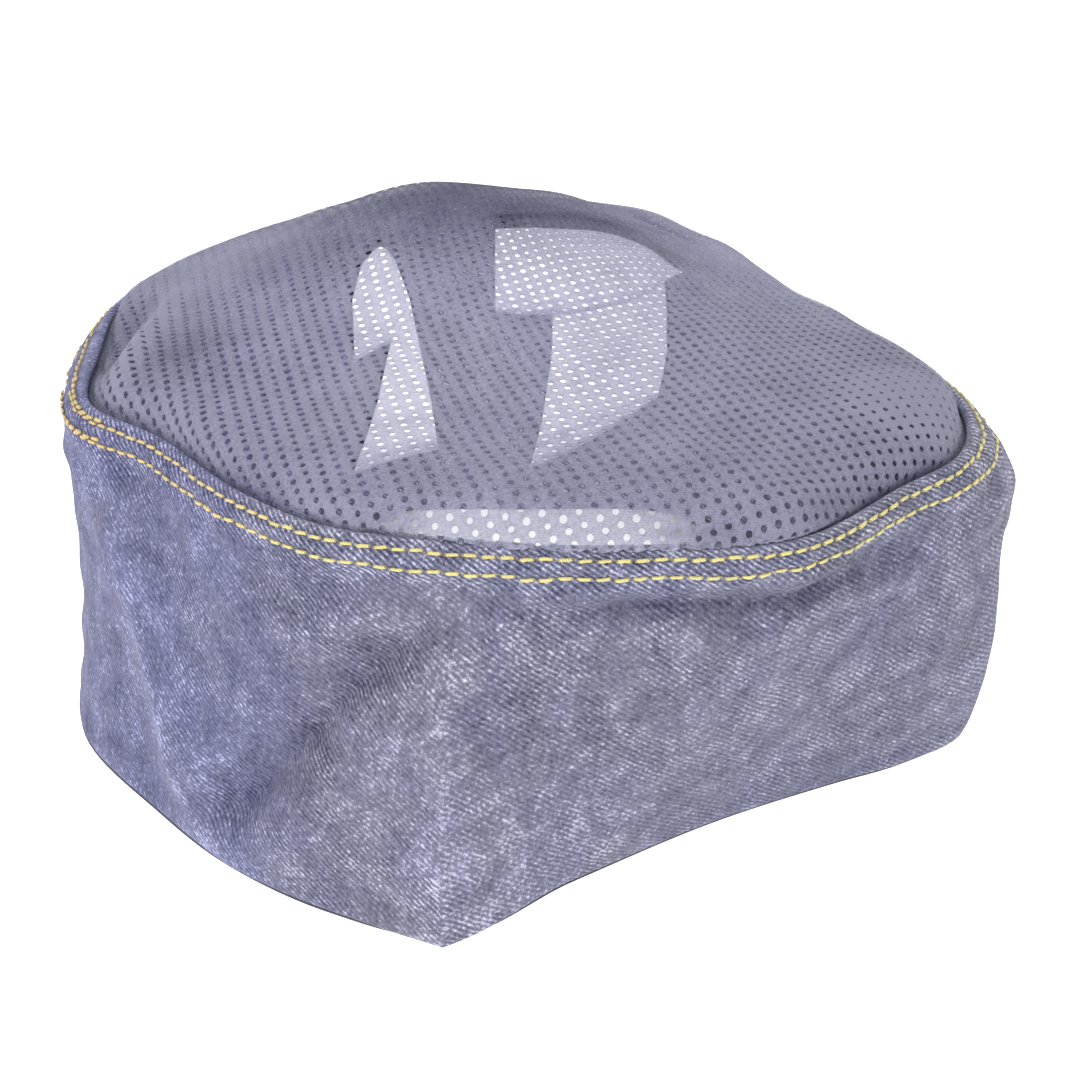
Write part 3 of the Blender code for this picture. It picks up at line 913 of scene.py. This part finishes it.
def edge_faces(which, layer):
    """Faces that close the sheet round its outer edge."""
    seen = {}
    for corners in which.tolist():
        for a, b in zip(corners, corners[1:] + corners[:1]):
            if a != b:
                seen[(a, b)] = True
    return [[b, a, a + layer, b + layer] for a, b in seen if (b, a) not in seen]


def tube_faces(count, steps, sides):
    """Faces of closed tubes whose rings of points follow one another, tube after tube."""
    one = []
    for s in range(steps - 1):
        for k in range(sides):
            a, b = s * sides + k, s * sides + (k + 1) % sides
            one.append([a, b, b + sides, a + sides])
    quads = np.array(one)[None] + (np.arange(count) * steps * sides)[:, None, None]
    caps = [list(range(sides))[::-1], list(range((steps - 1) * sides, steps * sides))]
    ends = [[c + n * steps * sides for c in cap] for n in range(count) for cap in caps]
    return quads.reshape(-1, 4).tolist() + ends


def stitch_tube(path, normal, radius, phase):
    """A closed tube of twisted thread along each path of points, as points and faces."""
    sides, lobes, turns = 10, 3, 2.2
    count, steps = path.shape[:2]
    tangent = np.gradient(path, axis=1)
    tangent = unit(tangent)
    side = np.cross(tangent, normal)
    side = unit(side)
    lift = np.cross(side, tangent)
    angle = np.arange(sides) * 2 * math.pi / sides
    t = np.linspace(0, 1, steps)
    taper = np.sqrt(np.clip(1 - (2 * t - 1) ** 6, 0.02, 1))
    twist = lobes * angle[None, None] - 2 * math.pi * turns * t[None, :, None]
    lobe = 1 + 0.13 * np.cos(twist + phase[:, None, None])
    size = radius[:, None, None] * taper[None, :, None] * lobe
    points = (path[:, :, None] + side[:, :, None] * (np.cos(angle) * 1.08 * size)[..., None]
              + lift[:, :, None] * (np.sin(angle) * 0.95 * size)[..., None])
    u = np.broadcast_to(t[None, :, None] * STITCH_PITCH, size.shape)
    v = np.broadcast_to(angle[None, None] * THREAD_RADIUS, size.shape)
    uv = np.stack([u, v], axis=-1).reshape(-1, 2)
    faces = tube_faces(count, steps, sides)
    return points.reshape(-1, 3), faces, np.concatenate([uv[face] for face in faces])


def make_stitches(name, level, places, material, seed, offset=0.0, thick=1.0):
    """One row of separate stitches that bridge from needle hole to needle hole."""
    random = np.random.default_rng(seed)
    count = STITCH_COUNTS[level]
    starts = np.arange(count) / count
    starts = starts[(starts >= places[0]) & (starts < places[1])] + offset * 0.5 / count
    t = np.linspace(0, 1, 9)
    place = starts[:, None] + t[None] * STITCH_SHARE / count
    jitter = random.normal(0, 0.012, (len(starts), 1)) + offset * 0.06
    slant = (STITCH_SLANT + random.normal(0, 0.012, (len(starts), 1))) * (t[None] - 0.5)
    levels = level + jitter + slant
    path, normal, _ = cloth_frame(place, levels)
    radius = THREAD_RADIUS * thick * random.uniform(0.92, 1.08, len(starts))
    rise = np.sin(math.pi * t) ** 0.45 * random.uniform(1.1, 1.5, (len(starts), 1)) - 0.55
    path = path + normal * (rise * THREAD_RADIUS)[..., None]
    path = path + normal * abs(offset) * THREAD_RADIUS
    phase = random.uniform(0, 2 * math.pi, len(starts))
    points, faces, uvs = stitch_tube(path, normal, radius, phase)
    return make_piece(name, points, faces, uvs, [material])


def wall_point(place, height):
    """Points of the band's outer face at heights in metres, and straight above its shoulder."""
    foot = BAND_HEIGHT - SHOULDER_DROP
    level = np.minimum(height / foot, 1.0)
    normal, _ = band_frame(place, level)
    points = band_point(place, level)
    points[..., :2] -= outward(place) * (LABEL_LEAN * np.maximum(height - foot, 0.0))[..., None]
    points[..., 2] = height
    return points, normal


def label_sheet(rows, near, seed):
    """One sheet of a label: its two sides' points, its flat coordinates and its painted shadow."""
    knots = np.linspace(0, 1, len(rows))
    down = np.linspace(0, 1, 41)
    right, right_z, middle_z, left, left_z = (np.interp(down, knots, column(rows, k)) for k in range(2, 7))
    s = np.linspace(0, 1, 21)[None]
    place = right[:, None] * (1 - s) + left[:, None] * s
    height = (right_z[:, None] * (1 - s) * (1 - 2 * s) + middle_z[:, None] * 4 * s * (1 - s)
              + left_z[:, None] * s * (2 * s - 1))
    base, normal = wall_point(place, height)
    low = down[:, None]
    curl = 0.0011 * low ** 2 * (2 * s - 1) ** 2 + 0.0012 * low ** 3 + 0.0003 * wave_noise(base, 0.016, seed)
    outer = base - normal * (near + np.maximum(curl, -0.0003))[..., None]
    flat = np.stack([place * GIRTH, height], axis=-1)
    # Painted shadow along the lower edge, and a fainter dark line just above it
    hem = np.broadcast_to(bell((1 - low) / 0.055) + 0.5 * bell((0.88 - low) / 0.02), place.shape)
    return outer, outer - normal * LABEL_CLOTH, flat, hem


def flat_area(flat):
    """The area of a grid of flat points."""
    a, b = flat[1:, 1:] - flat[:-1, :-1], flat[1:, :-1] - flat[:-1, 1:]
    return float(np.abs(a[..., 0] * b[..., 1] - a[..., 1] * b[..., 0]).sum() / 2)


def make_label(name, under, painted_dimming, material):
    """A blank label of one or two thin sheets that hang inside the band, with curled free ends."""
    near = BAND_WALL + SEAM_GAP + CROWN_WALL + SEAM_GAP + under * (LABEL_WALL + SEAM_GAP)
    points, faces, uvs, label_painted_shades, spans, area = [], [], [], [], [], 0.0
    for sheet in sorted({row[1] for row in LABEL_ROWS if row[0] == name}):
        rows = [row for row in LABEL_ROWS if row[:2] == (name, sheet)]
        outer, inner, flat, hem = label_sheet(rows, near + sheet * LEAF_STEP, 31 + under + sheet)
        # Painted shade: each sheet's shadow along its lower edge, plus the whole label's painted dimming
        label_painted_shades += [hem.ravel() + painted_dimming, hem.ravel() + painted_dimming]
        spans.append(np.ptp(flat.reshape(-1, 2), axis=0))
        area += flat_area(flat)
        made = sheet_faces(*flat.shape[:2])
        flat = np.concatenate([flat.reshape(-1, 2)] * 2)
        start = sum(len(part) for part in points)
        points.append(np.concatenate([outer.reshape(-1, 3), inner.reshape(-1, 3)]))
        faces += [[corner + start for corner in face] for face in made]
        uvs += [flat[face] for face in made]
    piece = make_piece("blank_" + name, np.concatenate(points), faces, np.concatenate(uvs), [material],
                       name, sharp=50)
    add_float(piece, "hem", np.concatenate(label_painted_shades))


def sheet_faces(rows, columns):
    """Faces of a thin closed sheet whose two sides are grids of points, one after the other."""
    layer = rows * columns
    faces = []
    for r in range(rows - 1):
        for c in range(columns - 1):
            quad = [r * columns + c, r * columns + c + 1, (r + 1) * columns + c + 1, (r + 1) * columns + c]
            faces.append(quad)
            faces.append([q + layer for q in quad[::-1]])
    rim = list(range(columns)) + [r * columns + columns - 1 for r in range(1, rows)]
    rim += [(rows - 1) * columns + c for c in range(columns - 2, -1, -1)]
    rim += [r * columns for r in range(rows - 2, 0, -1)]
    faces += [[b, a, a + layer, b + layer] for a, b in zip(rim, rim[1:] + rim[:1])]
    return faces


class Nodes:
    """A short way to write a material's nodes."""

    def __init__(self, name):
        self.material = bpy.data.materials.new(name)
        self.material.use_nodes = True
        self.tree = self.material.node_tree
        self.shader = self.tree.nodes["Principled BSDF"]

    def put(self, socket, value):
        """Link a socket to an output, or set its value."""
        if isinstance(value, bpy.types.NodeSocket):
            self.tree.links.new(value, socket)
        else:
            socket.default_value = value

    def math(self, operation, first, second=0.0, third=0.0):
        """A Math node's result."""
        node = self.tree.nodes.new("ShaderNodeMath")
        node.operation = operation
        for socket, value in zip(node.inputs, (first, second, third)):
            self.put(socket, value)
        return node.outputs[0]

    def times(self, first, second):
        """Two values multiplied."""
        return self.math("MULTIPLY", first, second)

    def line(self, value, slope, start):
        """A value times a slope, plus a start."""
        return self.math("MULTIPLY_ADD", value, slope, start)

    def vector_math(self, operation, first, second=(0.0, 0.0, 0.0)):
        """A Vector Math node's outputs."""
        node = self.tree.nodes.new("ShaderNodeVectorMath")
        node.operation = operation
        self.put(node.inputs[0], first)
        self.put(node.inputs[1], second)
        return node.outputs

    def flat(self):
        """The flat cloth's own coordinates in metres, along and up."""
        node = self.tree.nodes.new("ShaderNodeUVMap")
        node.uv_map = "cloth"
        return self.parts(node.outputs[0])[:2]

    def parts(self, vector):
        """A vector's three values."""
        split = self.tree.nodes.new("ShaderNodeSeparateXYZ")
        self.put(split.inputs[0], vector)
        return list(split.outputs)

    def object_place(self):
        """The point in the part's frame."""
        return self.tree.nodes.new("ShaderNodeTexCoord").outputs["Object"]

    def noise(self, vector, size, detail=3.0, rough=0.6):
        """Smooth noise with features of about one size, in metres."""
        node = self.tree.nodes.new("ShaderNodeTexNoise")
        self.put(node.inputs["Vector"], vector)
        self.put(node.inputs["Scale"], 1.0 / size)
        self.put(node.inputs["Detail"], detail)
        self.put(node.inputs["Roughness"], rough)
        return node.outputs["Fac"]

    def vector(self, x, y):
        """Two values joined as a vector."""
        join = self.tree.nodes.new("ShaderNodeCombineXYZ")
        self.put(join.inputs[0], x)
        self.put(join.inputs[1], y)
        return join.outputs[0]

    def tinted(self, colour, tint):
        """A colour multiplied by another."""
        return self.vector_math("MULTIPLY", colour, tint)[0]

    def value(self, name):
        """A value stored on the mesh."""
        node = self.tree.nodes.new("ShaderNodeAttribute")
        node.attribute_name = name
        return node.outputs["Fac"]

    def fit(self, value, low, high, new_low=0.0, new_high=1.0):
        """A value moved from one range to another, and held in it."""
        node = self.tree.nodes.new("ShaderNodeMapRange")
        for socket, given in zip(node.inputs, (value, low, high, new_low, new_high)):
            self.put(socket, given)
        return node.outputs[0]

    def mix(self, share, first, second):
        """Two colours mixed."""
        node = self.tree.nodes.new("ShaderNodeMix")
        node.data_type = "RGBA"
        self.put(node.inputs[0], share)
        for socket, colour in ((node.inputs[6], first), (node.inputs[7], second)):
            self.put(socket, colour if isinstance(colour, bpy.types.NodeSocket) else (*colour, 1.0))
        return node.outputs[2]

    def bump(self, height, distance):
        """Bump from a height of 0 to 1 and the distance that 1 stands for."""
        node = self.tree.nodes.new("ShaderNodeBump")
        node.inputs["Strength"].default_value = 1.0
        node.inputs["Distance"].default_value = distance
        self.put(node.inputs["Height"], height)
        return node.outputs[0]

    def finish(self, colour, roughness, normal, sheen=0.0, specular=0.2, alpha=1.0):
        """Set the shader's inputs and hand back the material."""
        inputs = self.shader.inputs
        self.put(inputs["Base Color"], colour)
        self.put(inputs["Roughness"], roughness)
        self.put(inputs["Normal"], normal)
        inputs["Sheen Weight"].default_value = sheen
        inputs["Sheen Roughness"].default_value = 0.5
        inputs["Specular IOR Level"].default_value = specular
        self.put(inputs["Alpha"], alpha)
        return self.material


def denim(name, dark, light, pale):
    """Heathered twill: broken pale lines that fall to the right, flecks, patches, worn pale places and
    painted shade in its folds.
    """
    n = Nodes(name)
    u, v = n.flat()
    sine, cosine = math.sin(TWILL_TURN), math.cos(TWILL_TURN)
    place = n.object_place()
    wobble = n.line(n.noise(place, 0.005, 2.0), 0.9, -0.45)
    across = n.line(u, sine / TWILL_LINE, n.times(v, cosine / TWILL_LINE))
    across = n.math("ADD", across, wobble)
    along = n.line(u, cosine / TWILL_DASH, n.times(v, -sine / TWILL_DASH))
    lines = n.line(n.math("SINE", n.times(across, 2 * math.pi)), 0.5, 0.5)
    streak = n.fit(n.noise(n.vector(across, along), 0.62, 2.0, 0.75), 0.30, 0.70)
    heather = n.fit(n.noise(place, 0.0010, 3.0, 0.75), 0.33, 0.67)
    patch = n.noise(place, 0.0065, 3.0, 0.6)
    presence = n.fit(n.noise(place, 0.016, 2.0), 0.40, 0.60, 0.28, 0.60)
    presence = n.math("MAXIMUM", presence, n.times(n.value("crisp"), 0.75))
    weave = n.line(lines, 0.55, n.times(streak, 0.60))
    weave = n.times(n.math("SUBTRACT", weave, 0.57), presence)
    level = n.line(n.math("SUBTRACT", heather, 0.5), 0.42, n.math("ADD", weave, 0.40))
    level = n.line(n.math("SUBTRACT", patch, 0.5), 0.75, level)
    # Paler where rubbed, and darker where painted shade lies in the folds and creases
    level = n.line(n.value("wear_and_shade"), 0.35, level)
    colour = n.mix(n.fit(level, 0.0, 0.85), dark, light)
    colour = n.mix(n.fit(n.line(streak, 0.35, level), 0.78, 1.25), colour, pale)
    blue = n.fit(n.noise(place, 0.022, 2.0), 0.42, 0.62, 0.0, 0.35)
    # Bluer in patches, and more so towards the left side
    blue = n.math("ADD", blue, n.value("bluer_to_left"))
    colour = n.mix(blue, colour, n.tinted(colour, (0.86, 0.88, 1.16)))
    height = n.line(lines, 0.6, n.times(streak, 0.6))
    return n.finish(colour, 0.88, n.bump(height, 0.00012), sheen=0.12, specular=0.15)


def knit(name):
    """Soft open knit: fine loops in ribs between the columns of holes, with painted shade and light, and a
    faint painted shade at each rim.
    """
    n = Nodes(name)
    _, v = n.flat()
    place = n.object_place()
    columns = n.value("column")
    rib = n.line(n.math("COSINE", n.times(columns, 2 * math.pi)), -0.5, 0.5)
    loop = 0.00050
    slip = n.math("ABSOLUTE", n.math("SUBTRACT", n.math("FRACT", n.times(columns, 5.0)), 0.5))
    rows = n.math("FRACT", n.line(v, 1 / loop, slip))
    loops = n.math("SINE", n.times(rows, math.pi))
    speck = n.fit(n.noise(place, 0.0007, 2.0, 0.7), 0.35, 0.68)
    patch = n.noise(place, 0.012, 3.0, 0.6)
    level = n.line(loops, 0.20, n.times(speck, 0.42))
    level = n.line(rib, 0.08, level)
    level = n.line(n.math("SUBTRACT", patch, 0.5), 0.5, level)
    # A faint painted shade at each hole's rim
    level = n.line(n.value("rim"), -0.02, level)
    # Painted shade from the stored value, and painted light where it is below 0
    level = n.line(n.value("shade"), -0.34, level)
    colour = n.mix(n.fit(level, -0.35, 0.65), *KNIT_COLOURS)
    height = n.line(speck, 0.4, loops)
    alpha = n.fit(n.value("doubled"), 0.0, 1.0, 1.0 - KNIT_OPENNESS, 1.0)
    return n.finish(colour, 0.75, n.bump(height, 0.00007), sheen=0.15, specular=0.2, alpha=alpha)


def thread(name):
    """Glossy yellow thread with painted olive shadows between its plies and at each stitch's ends, more
    golden at the left.
    """
    n = Nodes(name)
    u, v = n.flat()
    place = n.object_place()
    ply = n.line(u, 2 * math.pi / 0.00055, n.times(v, 3 / THREAD_RADIUS))
    wave = n.line(n.math("SINE", ply), 0.5, 0.5)
    tone = n.noise(place, 0.0030, 2.0)
    level = n.line(wave, 0.55, n.times(tone, 0.6))
    # Painted shade towards each stitch's ends, where the thread dives into the cloth
    ends = n.math("ABSOLUTE", n.math("SUBTRACT", n.times(u, 2 / STITCH_PITCH), 1.0))
    level = n.math("SUBTRACT", level, n.fit(ends, 0.52, 0.95, 0.0, 1.0))
    golden = n.fit(n.parts(place)[0], -0.03, -0.09)
    bright = n.mix(golden, THREAD_YELLOW, THREAD_GOLD)
    colour = n.mix(n.fit(level, -0.25, 0.75), THREAD_SHADOW, bright)
    return n.finish(colour, 0.45, n.bump(wave, 0.00007), sheen=0.2, specular=0.4)


def tape(name):
    """Smooth white woven tape with fine ribs, darkened by a painted shadow along its lower edge."""
    n = Nodes(name)
    u, v = n.flat()
    place = n.object_place()
    rib = n.math("SINE", n.times(v, 2 * math.pi / 0.0005))
    warp = n.math("SINE", n.times(u, 2 * math.pi / 0.0004))
    weave = n.line(n.times(rib, warp), 0.5, 0.5)
    tone = n.fit(n.noise(place, 0.006, 3.0), 0.35, 0.65)
    level = n.line(weave, 0.25, n.times(tone, 0.6))
    # Painted shadow along the lower edge, and painted shade over the whole label
    level = n.line(n.value("hem"), -1.3, level)
    colour = n.mix(n.fit(level, -0.9, 0.85), *TAPE_COLOURS)
    return n.finish(colour, 0.42, n.bump(weave, 0.00005), sheen=0.1, specular=0.45)


def stage_mesh(name, points, faces, lower, material):
    """A level piece of the stage, a little under the hem."""
    data = bpy.data.meshes.new(name)
    data.from_pydata(points, [], faces)
    data.materials.append(material)
    piece = bpy.data.objects.new(name, data)
    piece.location.z = -lower
    bpy.context.scene.collection.objects.link(piece)


def table_finish(n, colour, glow):
    """Set a table material's colour and the strength of its glow."""
    n.put(n.shader.inputs["Base Color"], colour)
    n.put(n.shader.inputs["Roughness"], 0.9)
    n.put(n.shader.inputs["Emission Color"], (1, 1, 1, 1))
    n.put(n.shader.inputs["Emission Strength"], glow)
    return n.material


def white_floor():
    """A pale table that glows a little, as on a light box."""
    half = TABLE_HALF
    square = [(-half, -half, 0), (half, -half, 0), (half, half, 0), (-half, half, 0)]
    table = table_finish(Nodes("white_table"), (*TABLE_COLOUR, 1), FLOOR_GLOW)
    stage_mesh("floor", square, [(0, 1, 2, 3)], 0.0004, table)


def shaded_floor():
    """The table inside the hem, in shade but for a lit patch with a mottled edge."""
    place = np.arange(180) / 180
    hem = np.pad(outline(place, 1) * INSIDE_SHARE, ((0, 0), (0, 1))) + SHIFT
    n = Nodes("shaded_table")
    gap = n.vector_math("SUBTRACT", n.object_place(), (*PATCH_CENTRE, 0))[0]
    shares = n.tinted(gap, (1 / PATCH_REACH[0], 1 / PATCH_REACH[1], 0))
    length = n.vector_math("LENGTH", shares)["Value"]
    mottle = n.line(n.noise(n.object_place(), 0.012, 3.0), 0.7, -0.35)
    lit = n.fit(n.math("ADD", length, mottle), 0.75, 1.10, 1.0, 0.0)
    colour = n.mix(lit, SHADED_COLOUR, TABLE_COLOUR)
    shaded = table_finish(n, colour, n.times(lit, INSIDE_GLOW))
    stage_mesh("inside_floor", hem.tolist(), [list(range(len(hem)))], 0.0002, shaded)


def area_light(name, place, size, power, aim):
    """A soft square light that looks at a point, and isn't seen itself."""
    data = bpy.data.lights.new(name, "AREA")
    data.size = size
    data.energy = power
    light = bpy.data.objects.new(name, data)
    light.location = place
    way = np.array(aim) - np.array(place)
    light.rotation_euler = (math.atan2(math.hypot(way[0], way[1]), -way[2]), 0,
                            math.atan2(way[1], way[0]) - math.pi / 2)
    light.visible_camera = False
    bpy.context.scene.collection.objects.link(light)
    return data


def light_scene():
    """White surroundings, two large soft lights and a small one inside the cap."""
    world = bpy.data.worlds.new("studio")
    world.use_nodes = True
    background = world.node_tree.nodes["Background"]
    background.inputs["Color"].default_value = (1.0, 1.0, 1.0, 1.0)
    background.inputs["Strength"].default_value = SKY_STRENGTH
    bpy.context.scene.world = world
    made = {row[0]: area_light(*row) for row in LIGHTS}
    made["inner fill"].spread = INNER_SPREAD
    bpy.context.scene.view_settings.view_transform = "Standard"


def place_camera():
    """The photograph's view: from in front and above, level side to side."""
    data = bpy.data.cameras.new("camera")
    data.lens = LENS
    data.sensor_width = 36.0
    data.clip_start = 0.01
    camera = bpy.data.objects.new("camera", data)
    camera.location = (
        SHIFT[0],
        SHIFT[1] - CAMERA_DISTANCE * math.cos(CAMERA_ELEVATION),
        AIM_HEIGHT + CAMERA_DISTANCE * math.sin(CAMERA_ELEVATION),
    )
    camera.rotation_euler = (math.pi / 2 - CAMERA_ELEVATION, 0, 0)
    bpy.context.scene.collection.objects.link(camera)
    bpy.context.scene.camera = camera


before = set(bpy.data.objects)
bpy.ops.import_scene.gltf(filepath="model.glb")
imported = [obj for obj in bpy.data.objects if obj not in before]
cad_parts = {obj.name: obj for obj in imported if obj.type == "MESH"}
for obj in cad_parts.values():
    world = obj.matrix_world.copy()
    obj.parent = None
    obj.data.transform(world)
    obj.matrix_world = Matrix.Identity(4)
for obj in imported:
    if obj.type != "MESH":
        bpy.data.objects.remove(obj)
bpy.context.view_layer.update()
SHIFT = plan_shift()


def main():
    """Dress the cap and set its stage."""
    outside = denim("indigo_twill", *OUTSIDE_DENIM)
    inside = denim("indigo_twill_back_shaded", *INSIDE_DENIM_SHADED)
    make_band(outside, inside)
    make_crown(knit("navy_knit"))
    yellow = thread("yellow_thread")
    make_stitches("topstitch_upper", STITCH_LEVELS[0], (0.0, 1.0), yellow, 41)
    make_stitches("topstitch_lower", STITCH_LEVELS[1], (0.0, 1.0), yellow, 42)
    make_stitches("topstitch_overlap", STITCH_LEVELS[1], BACKTACK, yellow, 43, 1.0, 1.1)
    make_stitches("topstitch_overlap_upper", STITCH_LEVELS[0], BACKTACK, yellow, 44, 1.0, 1.1)
    white = tape("white_tape")
    for name, under, painted_dimming, held in LABELS:
        make_label(name, under, painted_dimming, white)
    white_floor()
    shaded_floor()
    light_scene()
    place_camera()


main()
